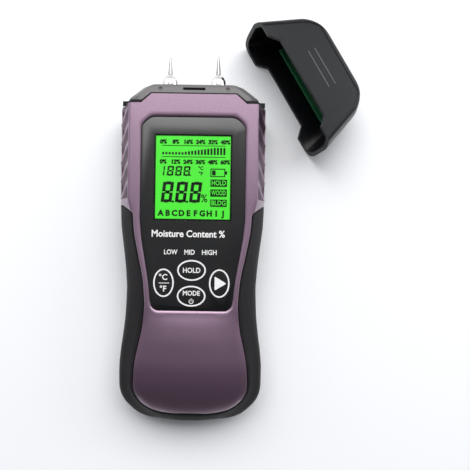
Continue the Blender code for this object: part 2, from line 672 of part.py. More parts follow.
def make_check_board():
    """The cap's check board: two contacts and a resistor on it, held by two screws."""
    low = CAP_BOARD_FLOOR + GAP
    high = low + CAP_BOARD_THICKNESS
    board = prism("cap_board", rectangle(-19.0, 19.0, 10.5, 21.0), low, high)
    finish(board, BOARD_GREEN, 0.35)
    pieces = [board]
    for side, label in ((-1, "left"), (1, "right")):
        place = (side * CAP_SCREW_X, CAP_SCREW_DEPTH, high)
        hole = turned(f"board_hole_{side}", ((1.3, 0.0), (1.3, 20.0)), "Z", 16, place)
        combine(board, hole)
        under_head = high + GAP
        screw = turned(f"cap_screw_{label}", (
            (0.9, low - 1.6), (0.9, under_head), (2.2, under_head + 0.01),
            (2.2, high + 1.4), (1.4, high + 2.0),
        ), "Z", 16, place)
        x = side * PIN_X
        contact = box(
            f"cap_contact_{label}", (x - 1.5, x + 1.5), (12.0, 20.0), (high + GAP, high + 0.8),
            (x, 16.0, high),
        )
        leaf = loft(f"contact_leaf_{label}", [
            [(x - 1.5, y, z), (x + 1.5, y, z), (x + 1.5, y, z + 0.4), (x - 1.5, y, z + 0.4)]
            for y, z in ((19.5, high + 0.35), (17.0, high + 2.2), (14.5, high + 3.2))
        ])
        combine(contact, leaf, "UNION")
        pieces += [hole, finish(screw, STEEL, 0.3, 1.0), finish(contact, STEEL, 0.25, 1.0), leaf]
    resistor = box("cap_resistor", (-3.2, 3.2), (14.0, 17.0), (high + GAP, high + 1.8), (0.0, 15.5, high))
    pieces.append(finish(resistor, (0.03, 0.03, 0.03), 0.4))
    return pieces


for old in list(bpy.data.objects):
    bpy.data.objects.remove(old)

make_front_shell()
make_back_shell()
make_grip()
make_head()
make_gasket()
make_overlay()
make_keys()
make_display()
make_board()
make_probes()
make_battery()
make_screws()
make_cap()
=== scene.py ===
"""A pin-type wood moisture meter on a pale table, with its pin cap lying off beside it.

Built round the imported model, in metres: +X right, +Y towards the pins, +Z out of the display.
"""

import math

import bpy
from mathutils import Matrix, Vector


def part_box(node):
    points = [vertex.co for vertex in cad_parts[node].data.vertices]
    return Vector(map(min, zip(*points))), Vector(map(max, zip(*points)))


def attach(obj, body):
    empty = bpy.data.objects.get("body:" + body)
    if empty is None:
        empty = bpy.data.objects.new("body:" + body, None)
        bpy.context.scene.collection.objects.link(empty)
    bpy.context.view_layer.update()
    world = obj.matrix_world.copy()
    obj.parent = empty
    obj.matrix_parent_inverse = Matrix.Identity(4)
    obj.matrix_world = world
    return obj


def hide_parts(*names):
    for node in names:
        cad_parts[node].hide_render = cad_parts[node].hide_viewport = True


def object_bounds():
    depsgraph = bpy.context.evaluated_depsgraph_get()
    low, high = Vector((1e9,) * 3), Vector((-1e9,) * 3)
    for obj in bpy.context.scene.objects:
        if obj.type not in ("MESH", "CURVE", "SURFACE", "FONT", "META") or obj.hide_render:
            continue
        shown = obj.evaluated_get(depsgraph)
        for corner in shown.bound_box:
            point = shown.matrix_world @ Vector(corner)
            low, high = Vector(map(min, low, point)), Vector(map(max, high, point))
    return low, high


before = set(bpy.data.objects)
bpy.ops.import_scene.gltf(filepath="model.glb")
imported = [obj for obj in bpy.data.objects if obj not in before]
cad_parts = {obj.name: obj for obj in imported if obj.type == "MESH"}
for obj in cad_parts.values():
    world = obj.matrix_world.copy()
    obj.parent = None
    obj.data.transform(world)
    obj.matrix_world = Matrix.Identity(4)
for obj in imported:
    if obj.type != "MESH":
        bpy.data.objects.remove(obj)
cad_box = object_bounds()


# --- Table, light and camera ---------------------------------------------------------------
# A plain pale laminate table under one large soft light beyond the pins, with a weak one on each
# side. The camera hangs above the meter and looks straight down.

class Value:
    """A number that varies over a surface. Sums written with it become shader nodes."""

    def __init__(self, finish, socket):
        self.finish = finish
        self.socket = socket

    def __add__(self, other):
        return self.finish.node("Math", {"operation": "ADD"}, {0: self, 1: other})

    __radd__ = __add__

    def __sub__(self, other):
        return self.finish.node("Math", {"operation": "SUBTRACT"}, {0: self, 1: other})

    def __rsub__(self, other):
        return self.finish.node("Math", {"operation": "SUBTRACT"}, {0: other, 1: self})

    def __mul__(self, other):
        return self.finish.node("Math", {"operation": "MULTIPLY"}, {0: self, 1: other})

    __rmul__ = __mul__

    def band(self, start, stop):
        """Rises smoothly from 0 at start to 1 at stop."""
        settings = {"interpolation_type": "SMOOTHSTEP"}
        return self.finish.node("MapRange", settings, {"Value": self, "From Min": start, "From Max": stop})


class Finish:
    """One material of the object, with the nodes that give its surface its detail."""

    def __init__(self, name, colour, roughness, metallic=0.0, **even):
        self.material = bpy.data.materials.new(name)
        self.material.use_nodes = True
        self.tree = self.material.node_tree
        self.shader = self.tree.nodes["Principled BSDF"]
        self.shader.inputs["Base Color"].default_value = (*colour, 1.0)
        self.shader.inputs["Roughness"].default_value = roughness
        self.shader.inputs["Metallic"].default_value = metallic
        for socket, value in even.items():
            self.shader.inputs[socket.replace("_", " ")].default_value = value
        self.coordinates = None

    def node(self, kind, settings=None, inputs=None, output=0):
        """Adds a node of a type, sets it, fills its sockets and returns one of its outputs."""
        node = self.tree.nodes.new(f"ShaderNode{kind}")
        for setting, value in (settings or {}).items():
            if setting == "stops":
                while len(node.color_ramp.elements) < len(value):
                    node.color_ramp.elements.new(0.5)
                for element, (place, shade) in zip(node.color_ramp.elements, value):
                    element.position = place
                    element.color = (*shade, 1.0)
            else:
                setattr(node, setting, value)
        for socket, value in (inputs or {}).items():
            if isinstance(value, Value):
                self.tree.links.new(value.socket, node.inputs[socket])
            else:
                node.inputs[socket].default_value = value
        return Value(self, node.outputs[output])

    def place(self, scale=(1.0, 1.0, 1.0), turn=(0.0, 0.0, 0.0)):
        """Object coordinates in metres, stretched and turned."""
        if self.coordinates is None:
            self.coordinates = self.node("TexCoord", output="Object")
        return self.node("Mapping", None, {"Vector": self.coordinates, "Scale": scale, "Rotation": turn})

    def noise(self, size, detail=2.0, stretch=(1.0, 1.0, 1.0), rough=0.5):
        """Noise from 0 to 1 whose features are about size metres across."""
        inputs = {"Vector": self.place(stretch), "Scale": 1.0 / size, "Detail": detail, "Roughness": rough}
        return self.node("TexNoise", None, inputs)

    def mix(self, factor, first, second):
        """A colour between two colours."""
        inputs = {0: factor}
        for socket, colour in ((6, first), (7, second)):
            inputs[socket] = colour if isinstance(colour, Value) else (*colour, 1.0)
        return self.node("Mix", {"data_type": "RGBA"}, inputs, 2)

    def vary(self, socket, value):
        """Drives one of the shader's sockets."""
        self.tree.links.new(value.socket, self.shader.inputs[socket])
        return self

    def bump(self, height, strength, distance):
        """Raises the surface by a height pattern."""
        inputs = {"Height": height, "Strength": strength, "Distance": distance}
        return self.vary("Normal", self.node("Bump", None, inputs))


bpy.ops.object.select_all(action="DESELECT")
bpy.ops.mesh.primitive_plane_add(size=6.0, location=(0.0, 0.0, cad_box[0][2]))
table_top = bpy.context.object
table_top.name = "table_top"
laminate = Finish("pale_laminate", (0.90, 0.91, 0.93), 0.6)
laminate.vary("Base Color", laminate.mix(laminate.noise(0.09), (0.89, 0.90, 0.92), (0.91, 0.92, 0.94)))
table_top.data.materials.append(laminate.material)


def soft_light(name, place, aim, size, power, colour):
    """A large rectangular lamp that points at a spot."""
    bpy.ops.object.light_add(type="AREA", location=place)
    lamp = bpy.context.object
    lamp.name = name
    lamp.rotation_mode = "QUATERNION"
    lamp.rotation_quaternion = (Vector(aim) - Vector(place)).to_track_quat("-Z", "Y")
    lamp.data.shape = "RECTANGLE"
    lamp.data.size, lamp.data.size_y = size
    lamp.data.energy = power
    lamp.data.color = colour


soft_light("key_light", (0.04, 0.80, 0.95), (0.0, 0.05, 0.0), (1.5, 0.85), 17.5, (1.0, 0.99, 0.985))
soft_light("left_light", (-1.0, 0.75, 0.5), (0.0, 0.0, 0.0), (0.8, 0.7), 2.6, (0.95, 0.97, 1.0))
soft_light("right_light", (1.15, 0.6, 0.5), (0.0, 0.0, 0.0), (0.8, 0.7), 5.0, (0.95, 0.97, 1.0))

world = bpy.data.worlds.new("studio")
world.use_nodes = True
sky = world.node_tree.nodes.new("ShaderNodeTexGradient")
turn = world.node_tree.nodes.new("ShaderNodeMapping")
turn.inputs["Rotation"].default_value = (0.0, 0.0, math.radians(-90.0))
turn.inputs["Location"].default_value = (0.35, 0.0, 0.0)
directions = world.node_tree.nodes.new("ShaderNodeTexCoord")
shades = world.node_tree.nodes.new("ShaderNodeValToRGB")
shades.color_ramp.elements[0].color = (0.045, 0.047, 0.052, 1.0)
shades.color_ramp.elements[1].color = (0.80, 0.82, 0.85, 1.0)
world.node_tree.links.new(directions.outputs["Generated"], turn.inputs["Vector"])
world.node_tree.links.new(turn.outputs["Vector"], sky.inputs["Vector"])
world.node_tree.links.new(sky.outputs["Color"], shades.inputs["Fac"])
world.node_tree.links.new(shades.outputs["Color"], world.node_tree.nodes["Background"].inputs["Color"])
world.node_tree.nodes["Background"].inputs["Strength"].default_value = 1.0
bpy.context.scene.world = world
bpy.context.scene.view_settings.view_transform = "Standard"

CAMERA_HEIGHT = 0.255
camera_spot = Vector((0.0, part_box("key_hold")[1].y + 0.0083, CAMERA_HEIGHT))
bpy.ops.object.camera_add(location=camera_spot, rotation=(0.0, 0.0, math.radians(0.85)))
camera = bpy.context.object
camera.data.lens = 41.4
camera.data.shift_x = 0.0915
camera.data.shift_y = 0.0106
camera.data.clip_start = 0.01
bpy.context.scene.camera = camera


# --- Back shell ----------------------------------------------------------------------------
# The half the meter lies on, moulded in black ABS with a fine spark texture. It is hollow, with
# a bay for the battery door, and four screws in deep wells hold it to the front shell.

MM = 0.001
BOTTOM_END = -75.0
SHOULDER = 63.5
PARTING = 10.0
GAP = 0.3
WALL = 2.2
SCREWS = ((-25.0, 55.0), (25.0, 55.0), (-18.0, 3.0), (18.0, 3.0))
HALF_WIDTH = (
    (-75.0, 15.0), (-74.5, 18.2), (-73.7, 20.8), (-72.6, 23.0), (-71.0, 25.1), (-69.0, 27.0),
    (-65.6, 29.6), (-62.0, 31.1), (-58.5, 31.6), (-51.0, 31.6), (-44.0, 31.1), (-37.0, 30.2),
    (-30.0, 29.4), (-22.8, 29.0), (-15.7, 28.8), (-8.6, 29.2), (-1.4, 29.9), (5.7, 30.8),
    (12.8, 31.6), (21.8, 31.9), (41.0, 32.0), (63.5, 32.0),
)
FRONT_HALF_WIDTH = (
    (-75.0, 7.0), (-72.0, 12.5), (-69.0, 16.5), (-66.0, 19.5), (-62.0, 22.8), (-58.0, 24.5),
    (-52.0, 24.4), (-40.0, 22.6), (-33.0, 21.0), (-24.0, 20.0), (-20.0, 20.0), (-11.0, 20.8),
    (7.5, 24.5), (17.0, 25.8), (24.0, 27.3), (63.5, 27.3),
)
FRONT_HEIGHT = (
    (-75.0, 13.5), (-74.3, 15.5), (-72.5, 18.3), (-70.0, 20.9), (-66.5, 23.4), (-62.0, 25.4),
    (-55.0, 27.3), (-46.0, 28.2), (-38.0, 28.3), (-30.0, 27.8), (-24.5, 27.0), (63.5, 27.0),
)
CROWN = (
    (-75.0, 1.2), (-70.0, 2.2), (-60.0, 2.6), (-40.0, 2.0), (-30.0, 1.0), (-24.0, 0.0), (63.5, 0.0),
)
BACK_HEIGHT = ((-75.0, 4.0), (-74.0, 2.4), (-72.5, 1.0), (-70.0, 0.0), (63.5, 0.0))
EDGE_ROUNDING = ((-75.0, 5.0), (-40.0, 5.0), (-24.0, 1.6), (-10.0, 0.8), (63.5, 0.8))


def along(table, y):
    """The value at y of a smooth curve through (y, value) pairs that never overshoots them."""
    slopes = [(v1 - v0) / (y1 - y0) for (y0, v0), (y1, v1) in zip(table, table[1:])]
    y = min(max(y, table[0][0]), table[-1][0])
    index = next(i for i in range(len(slopes)) if y <= table[i + 1][0])
    tangents = []
    for spot in (index, index + 1):
        before, after = slopes[max(spot - 1, 0)], slopes[min(spot, len(slopes) - 1)]
        tangents.append(2.0 * before * after / (before + after) if before * after > 0.0 else 0.0)
    (y0, v0), (y1, v1) = table[index], table[index + 1]
    width = y1 - y0
    t = (y - y0) / width
    return (
        (2 * t**3 - 3 * t**2 + 1) * v0 + (t**3 - 2 * t**2 + t) * width * tangents[0]
        + (3 * t**2 - 2 * t**3) * v1 + (t**3 - t**2) * width * tangents[1]
    )


def rounded(points, radii, steps=3):
    """A closed outline with each corner rounded over a distance on both sides of it."""
    result = []
    points = [Vector(point) for point in points]
    neighbours = zip(points[-1:] + points[:-1], points, points[1:] + points[:1], radii)
    for before, corner, after, radius in neighbours:
        back, on = before - corner, after - corner
        start = corner + back.normalized() * min(radius, 0.47 * back.length)
        stop = corner + on.normalized() * min(radius, 0.47 * on.length)
        for step in range(steps + 1):
            t = step / steps
            result.append(tuple(start * (1 - t) ** 2 + corner * 2 * t * (1 - t) + stop * t**2))
    return result


def body_corners(y, inset=0.0, roof=None):
    """The corners of the right half of the meter's cross-section at y, from back to front."""
    back = along(BACK_HEIGHT, y) + inset
    front = along(FRONT_HEIGHT, y) - inset if roof is None else roof
    crown = along(CROWN, y) if roof is None else 0.0
    half = along(HALF_WIDTH, y) - inset
    flat = along(FRONT_HALF_WIDTH, y) - inset * 0.6
    height, edge = front - back, front - crown
    return [
        (half - 5.0, back), (half - 2.0, back + 0.045 * height), (half - 0.5, back + 0.15 * height),
        (half, back + 0.33 * height), (half, back + 0.60 * height),
        (flat + 0.45 * (half - flat), edge - 0.16 * height), (flat, edge),
        (flat * 0.72, edge + crown * 0.50), (flat * 0.38, edge + crown * 0.88),
    ]


def body_ring(y, inset=0.0, roof=None, steps=3):
    """The meter's whole cross-section at y, with its corners rounded."""
    right = body_corners(y, inset, roof)
    radii = [3.0, 3.0, 3.0, 4.0, 4.0, 4.0, along(EDGE_ROUNDING, y), 8.0, 8.0]
    corners = right + [(-x, z) for x, z in reversed(right)]
    return [(x, y, z) for x, z in rounded(corners, radii + radii[::-1], steps)]


def stations(start, stop, step=2.0):
    """Places along the meter, close together at its round bottom end."""
    near = [0.0, 0.2, 0.45, 0.8, 1.2, 1.7, 2.3, 3.0, 3.8, 4.8, 6.0, 7.4, 9.0, 10.8, 12.8, 15.0]
    spots = [BOTTOM_END + distance for distance in near]
    while spots[-1] < SHOULDER:
        spots.append(spots[-1] + step)
    return [start] + [y for y in spots if start + 0.1 < y < stop - 0.1] + [stop]


def skin(name, rings):
    """A closed form through rings of points in millimetres, all with the same number of points."""
    around = len(rings[0])
    bpy.ops.object.select_all(action="DESELECT")
    bpy.ops.mesh.primitive_grid_add(x_subdivisions=around, y_subdivisions=len(rings) - 1)
    piece = bpy.context.object
    piece.name = name
    for vertex in piece.data.vertices:
        row, column = divmod(vertex.index, around + 1)
        vertex.co = Vector(rings[row][column % around]) * MM
    bpy.ops.object.mode_set(mode="EDIT")
    bpy.ops.mesh.select_all(action="SELECT")
    bpy.ops.mesh.remove_doubles(threshold=0.000002)
    bpy.ops.mesh.select_all(action="DESELECT")
    bpy.ops.mesh.select_non_manifold()
    bpy.ops.mesh.edge_face_add()
    bpy.ops.mesh.select_all(action="SELECT")
    bpy.ops.mesh.fill_holes(sides=0)
    bpy.ops.mesh.normals_make_consistent(inside=False)
    bpy.ops.object.mode_set(mode="OBJECT")
    return piece


def slab(name, outline, low, high):
    """A straight form over a plan outline, between two heights."""
    return skin(name, [[(x, y, z) for x, y in outline] for z in (low, high)])


def rectangle(x0, x1, y0, y1, corner=0.0):
    """A plan rectangle, with round corners where corner is given."""
    points = [(x0, y0), (x1, y0), (x1, y1), (x0, y1)]
    return rounded(points, [corner] * 4, 6) if corner else points


def round_bar(name, profile, axis, place=(0.0, 0.0, 0.0), count=32):
    """A turned form from (radius, distance along the axis) pairs, from end to end."""
    rings = []
    for radius, distance in profile:
        spread = [math.tau * step / count for step in range(count)]
        flat = [(radius * math.cos(angle), radius * math.sin(angle)) for angle in spread]
        rings.append([(a, distance, b) if axis == "Y" else (a, b, distance) for a, b in flat])
    return skin(name, [[tuple(Vector(point) + Vector(place)) for point in ring] for ring in rings])


def cut(piece, tool, operation="DIFFERENCE"):
    """Cuts a form with another, or joins them, or keeps what they share. The tool goes."""
    change = piece.modifiers.new("cut", "BOOLEAN")
    change.operation = operation
    change.object = tool
    bpy.ops.object.select_all(action="DESELECT")
    bpy.context.view_layer.objects.active = piece
    bpy.ops.object.modifier_apply(modifier=change.name)
    bpy.data.objects.remove(tool)
    return piece


def trim(piece, height, keep_above):
    """Cuts a form off flat at a height and closes the cut."""
    bpy.ops.object.select_all(action="DESELECT")
    bpy.context.view_layer.objects.active = piece
    piece.select_set(True)
    bpy.ops.object.mode_set(mode="EDIT")
    bpy.ops.mesh.select_all(action="SELECT")
    bpy.ops.mesh.bisect(
        plane_co=(0.0, 0.0, height * MM), plane_no=(0.0, 0.0, 1.0), use_fill=True,
        clear_inner=keep_above, clear_outer=not keep_above,
    )
    bpy.ops.object.mode_set(mode="OBJECT")
    return piece


def settle(piece, body, slot, finish, *replaced, crease=30.0):
    """Finishes a piece: shading, material, the body it moves with and the nodes it stands for."""
    bpy.ops.object.select_all(action="DESELECT")
    piece.select_set(True)
    bpy.context.view_layer.objects.active = piece
    bpy.ops.object.shade_smooth_by_angle(angle=math.radians(crease))
    piece.data.materials.clear()
    piece.data.materials.append(finish.material)
    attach(piece, body)
    if replaced:
        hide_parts(*replaced)
    return piece


def dress(finish, *names):
    """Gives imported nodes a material."""
    for name in names:
        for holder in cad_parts[name].material_slots:
            holder.material = finish.material


def moulded(name, colour, roughness, **even):
    """Moulded plastic with a fine spark texture and faint patches from handling."""
    plastic = Finish(name, colour, roughness, **even)
    grain = plastic.noise(0.00035, 3.0)
    patches = plastic.noise(0.018, 3.0)
    plastic.vary("Roughness", (patches - 0.5) * 0.12 + (grain - 0.5) * 0.06 + roughness)
    darker, lighter = (tuple(c * share for c in colour) for share in (0.86, 1.12))
    plastic.vary("Base Color", plastic.mix(patches, darker, lighter))
    return plastic.bump(grain, 0.35, 0.00004)


black_plastic = moulded("black_plastic", (0.022, 0.022, 0.025), 0.48)

back_shell = skin("back_shell_moulding", [body_ring(y) for y in stations(BOTTOM_END, SHOULDER)])
trim(back_shell, PARTING - GAP / 2, False)
TONGUE_BACK = ((15.3, 67.4), (20.1, 63.2), (20.1, 60.0))
BATTERY_BAY = (-13.9, 13.9, -67.0)


def mirrored(half):
    """A closed plan outline from the points of its right half."""
    return list(half) + [(-x, y) for x, y in reversed(half)]


cut(back_shell, slab("back_tongue", mirrored(TONGUE_BACK), 0.0, 2.2), "UNION")
hollow = skin("back_hollow", [
    [(x, y, z) for x, _, z in body_ring(min(y, SHOULDER), WALL, 20.0, 1)]
    for y in stations(BOTTOM_END + WALL + 1.0, SHOULDER + 5.0, 6.0)
])
cut(hollow, slab("compartment_floor", rectangle(-22.0, 22.0, -90.0, -14.0), -5.0, 3.4))
for x, y in SCREWS:
    cut(hollow, round_bar("boss", ((4.4, -2.0), (4.4, 30.0)), "Z", (x, y, 0.0)))
cut(back_shell, hollow)
cut(back_shell, slab("door_bay", rectangle(-16.0, 16.0, -90.0, -17.7), -5.0, 2.2))
cut(back_shell, slab("battery_window", rectangle(*BATTERY_BAY, -17.5), -5.0, 5.0))
for x, y in SCREWS:
    profile = ((3.4, -0.4), (3.0, 0.1), (3.0, 4.0), (1.6, 4.01), (1.6, 20.0))
    cut(back_shell, round_bar("well", profile, "Z", (x, y, 0.0)))
settle(back_shell, "meter", "black_plastic", black_plastic, "back_shell")


# --- Front shell ---------------------------------------------------------------------------
# The half with the display, moulded in grey-mauve plastic with a metallic flake. A lipped recess
# takes the overlay, the flanks run down under the grip, and posts inside take the four screws.

FRONT = 27.0
GRIP_THICKNESS = 2.5
OVERLAY_TOP = 26.3
RECESS_FLOOR = 25.5
ROOF_UNDERSIDE = 23.9
PANEL_OUTLINE = (
    (18.0, 57.8), (22.2, 54.0), (22.2, 14.0), (21.4, 6.0), (20.0, -2.3), (18.3, -12.2),
    (17.5, -19.8), (16.9, -22.6), (15.0, -24.2),
)
GRIP_INNER_EDGE = (
    (24.5, 7.5), (22.6, -2.0), (20.8, -11.0), (20.0, -20.0), (20.0, -24.0),
    (21.0, -33.0), (22.6, -40.0), (23.8, -46.0), (24.4, -52.0), (24.5, -58.0), (22.8, -62.5),
    (19.5, -66.2), (14.5, -68.8), (7.5, -69.8),
)
GRIP_NOTCH = (
    (45.0, 80.0), (45.0, 29.8), (32.6, 21.7), (31.2, 20.8), (29.8, 19.9), (28.4, 19.0), (27.0, 18.05),
)
TONGUE_FRONT = ((17.9, 67.4), (22.7, 63.2), (22.7, 60.0))
KEYS = (
    ("hold", 0.0, -7.1, 12.4, 9.1), ("unit", -11.8, -12.5, 9.0, 12.3),
    ("next", 11.8, -12.5, 9.0, 12.3), ("mode", 0.0, -18.0, 12.4, 9.1),
)


def flowing(points, steps=5):
    """An open line made smooth through its points."""
    ends = [points[0]] + list(points) + [points[-1]]
    result = []
    for p0, p1, p2, p3 in zip(ends, ends[1:], ends[2:], ends[3:]):
        p0, p1, p2, p3 = Vector(p0), Vector(p1), Vector(p2), Vector(p3)
        for step in range(steps):
            t = step / steps
            result.append(tuple(0.5 * (
                2 * p1 + (p2 - p0) * t + (2 * p0 - 5 * p1 + 4 * p2 - p3) * t**2
                + (3 * p1 - p0 - 3 * p2 + p3) * t**3
            )))
    return result + [tuple(points[-1])]


def grown(outline, distance):
    """A closed outline moved outwards by a distance, or inwards by a negative one."""
    points = [Vector(point) for point in outline]
    area = sum(a.cross(b) for a, b in zip(points, points[1:] + points[:1]))
    turn = 1.0 if area > 0.0 else -1.0
    moved = []
    for before, point, after in zip(points[-1:] + points[:-1], points, points[1:] + points[:1]):
        normals = [
            Vector((edge.y, -edge.x)).normalized() * turn for edge in (point - before, after - point)
        ]
        middle = (normals[0] + normals[1]).normalized()
        moved.append(tuple(point + middle * (distance / max(middle.dot(normals[0]), 0.4))))
    return moved


def shell_edge(distance):
    """The line on which the front shell meets the grip, moved outwards by a distance."""
    corner = rounded([(27.0, 18.05), (25.4, 17.0), (25.1, 13.0)], [0.0, 1.2, 0.0], 4)[5:10]
    return grown(mirrored(list(GRIP_NOTCH) + corner + flowing(((25.1, 13.0),) + GRIP_INNER_EDGE)), distance)


def surface_height(x, y):
    """How high the meter's outside is above the table at a place on its front."""
    path = body_corners(y)[4:]
    path.append((0.0, along(FRONT_HEIGHT, y)))
    x = min(abs(x), path[0][0])
    for (x0, z0), (x1, z1) in zip(path, path[1:]):
        if x >= x1:
            return z1 + (z0 - z1) * (x - x1) / max(x0 - x1, 0.001)
    return path[-1][1]


def edge_tool(name, distance, flare, depth):
    """A form with upright sides along the shell's edge that flares out just under the surface."""
    narrow, wide = shell_edge(distance), shell_edge(distance + flare)
    return skin(name, [
        [(x, y, -5.0) for x, y in narrow],
        [(x, y, surface_height(x, y) - depth) for x, y in narrow],
        [(x, y, surface_height(x, y) + 0.15) for x, y in wide],
        [(x, y, 45.0) for x, y in wide],
    ])


def flake_paint(name, paint_scoop_shade=False):
    """Mauve plastic with a metallic flake and a thin glossy skin; with painted shade, darker and duller on
    flute faces that turn away from the light.
    """
    skin_of_gloss = {"Coat_Weight": 1.0, "Coat_Roughness": 0.36, "Coat_IOR": 1.75}
    flake = Finish(name, (0.22, 0.13, 0.195), 0.42, 0.8, **skin_of_gloss)
    spots = flake.noise(0.00028, 2.0)
    clouds = flake.noise(0.03, 2.0)
    bright = spots.band(0.52, 0.72)
    shaded = flake.mix(clouds, (0.205, 0.112, 0.182), (0.23, 0.13, 0.205))
    paint = flake.mix(bright * 0.4, shaded, (0.37, 0.27, 0.35))
    # Painted shade: where the scoop attribute is high, the paint is darkened and its glossy coat thinned.
    if paint_scoop_shade:
        scoop = flake.node("Attribute", {"attribute_name": "scoop"}, None, "Fac")
        paint = flake.mix(scoop * 0.75, paint, (0.055, 0.022, 0.045))
        flake.vary("Coat Weight", 1.0 - scoop * 0.75)
    flake.vary("Base Color", paint)
    flake.vary("Roughness", 0.42 - bright * 0.12 + (clouds - 0.5) * 0.08)
    return flake.bump(spots, 0.12, 0.00003)


purple = flake_paint("purple_flake")

front_shell = skin("front_shell_moulding", [body_ring(y) for y in stations(BOTTOM_END, SHOULDER)])
cut(front_shell, edge_tool("visible_front", -GAP / 2, -0.55, 0.45), "INTERSECT")
flanks = skin("flanks", [
    body_ring(y, GRIP_THICKNESS + GAP, None, 1) for y in stations(BOTTOM_END + 2.8, 30.0, 4.0)
])
cut(front_shell, flanks, "UNION")
cut(front_shell, slab("front_tongue", mirrored(TONGUE_FRONT), 24.9, FRONT), "UNION")
trim(front_shell, PARTING + GAP / 2, True)
cavity = []
for y in stations(BOTTOM_END + 5.2, SHOULDER + 5.0, 4.0):
    inset = GRIP_THICKNESS + GAP + WALL if y < 24.0 else WALL
    roof = min(along(FRONT_HEIGHT, y) - inset, ROOF_UNDERSIDE)
    cavity.append([(x, y, z) for x, _, z in body_ring(min(y, SHOULDER), inset, roof, 1)])
cut(front_shell, skin("front_cavity", cavity))
cut(front_shell, slab("battery_roof", rectangle(*BATTERY_BAY, -14.0), 5.0, 20.6))


def panel_edge(distance, corner=2.0):
    """The overlay's outline with its corners rounded, moved outwards by a distance."""
    right = [*PANEL_OUTLINE[:2], *flowing(PANEL_OUTLINE[2:7], 4), *PANEL_OUTLINE[7:]]
    radii = [corner, corner] + [0.6] * (len(right) - 4) + [1.0, 1.1]
    return grown(rounded(mirrored(right), radii + radii[::-1], 3), distance)


lip = [
    (0.15, RECESS_FLOOR), (0.15, FRONT - 0.32), (0.35, FRONT - 0.18), (1.2, FRONT + 0.04), (1.3, 35.0),
]
cut(front_shell, skin("recess", [[(x, y, z) for x, y in panel_edge(distance)] for distance, z in lip]))
cut(front_shell, slab("display_opening", rectangle(-18.6, 18.6, 12.4, 53.6), 20.0, 30.0))


def oval(x, y, width, height, count=64):
    """A plan ellipse, by its full width and height."""
    spread = [math.tau * step / count for step in range(count)]
    return [(x + width / 2 * math.cos(angle), y + height / 2 * math.sin(angle)) for angle in spread]


for _, x, y, width, height in KEYS:
    cut(front_shell, slab("key_well", oval(x, y, width + 0.6, height + 0.6), 25.0, 26.3))
    cut(front_shell, round_bar("plunger_hole", ((2.1, 20.0), (2.1, 30.0)), "Z", (x, y, 0.0)))
for x, y in SCREWS:
    cut(front_shell, round_bar("post", ((3.2, 10.15), (3.2, 24.9)), "Z", (x, y, 0.0)), "UNION")
    cut(front_shell, round_bar("post_bore", ((1.6, 5.0), (1.6, 19.0)), "Z", (x, y, 0.0)))

STRIP_BOTTOM = 23.2
STRIP_TOP = 62.6
STRIP_INNER = 0.07
STRIP_OUTER = 0.97
STRIP_BED = -1.5
FLUTE_PITCH = 8.2
FLUTE_SLANT = 6.8
FLUTE_DEPTH = 1.2
FLUTE_FORM = (
    (0.0, 0.0), (0.05, 0.04), (0.2, 0.35), (0.4, 0.78), (0.52, 0.96), (0.58, 1.0), (0.66, 0.9),
    (0.8, 0.45), (0.9, 0.1),
)


def side_point(side, y, share, lift):
    """A point on the slope beside the front, a share of the way down it and lifted off it."""
    path = [Vector(point) for point in rounded(body_corners(y)[4:7][::-1], [0.0, 1.2, 0.0], 5)[4:10]]
    path = [Vector(body_corners(y)[6])] + path + [Vector(body_corners(y)[4])]
    lengths = [(b - a).length for a, b in zip(path, path[1:])]
    left = share * sum(lengths)
    for a, b, length in zip(path, path[1:], lengths):
        if left <= length or b is path[-1]:
            break
        left -= length
    direction = (b - a).normalized()
    spot = a + direction * left + Vector((-direction.y, direction.x)) * lift
    return (side * spot.x, y, spot.y)


def side_block(name, side, rows, low, columns=10):
    """A form over the slope. rows gives, for a share of the way down, places and lifts along it."""
    shares = [STRIP_INNER + (STRIP_OUTER - STRIP_INNER) * column / columns for column in range(columns + 1)]
    rings = []
    for share in shares:
        top = rows((share - STRIP_INNER) / (STRIP_OUTER - STRIP_INNER))
        ring = [side_point(side, y, share, lift) for y, lift in top]
        ring += [side_point(side, y, share, low) for y, _ in reversed(top)]
        rings.append(ring)
    return skin(name, rings)


def flutes(share):
    """Places and lifts of a row of saw-tooth flutes that slant outwards down the strip."""
    result = []
    for flute in range(-1, 6):
        for part, drop in FLUTE_FORM:
            y = STRIP_TOP - FLUTE_PITCH * (flute + part) - FLUTE_SLANT * share
            if y > STRIP_TOP or y < STRIP_BOTTOM:
                y = min(max(y, STRIP_BOTTOM), STRIP_TOP)
                phase = ((STRIP_TOP - FLUTE_SLANT * share - y) / FLUTE_PITCH) % 1.0
                drop = along(FLUTE_FORM + ((1.0, 0.0),), phase)
            result.append((y, -FLUTE_DEPTH * drop))
    return result


for side in (-1, 1):
    bed = side_block("strip_bed", side, lambda share: [(STRIP_TOP, 3.0), (STRIP_BOTTOM, 3.0)], STRIP_BED)
    cut(front_shell, bed)
settle(front_shell, "meter", "purple_shell", purple, "front_shell")
fluted_purple_painted_shade = flake_paint("fluted_purple_painted_shade", True)
for side, label in ((-1, "left"), (1, "right")):
    strip = side_block(f"fluted_strip_{label}", side, flutes, STRIP_BED - 0.02)
    # Painted shade: the scoop value rises as a face turns towards -Y, away from the key light, not with how
    # deep it lies.
    scoop = strip.data.attributes.new("scoop", "FLOAT", "POINT")
    for vertex, depth in zip(strip.data.vertices, scoop.data):
        depth.value = min(max(-7.0 * vertex.normal.y - 0.9, 0.0), 1.0)
    settle(strip, "meter", "purple_shell", fluted_purple_painted_shade, crease=22.0)


# --- Grip ----------------------------------------------------------------------------------
# A soft black elastomer skin moulded over the waist and the bottom end, about 2.5 mm thick, with
# slanting ends at the top and a rounded edge along the mauve front.

GRIP_TOP = 30.0


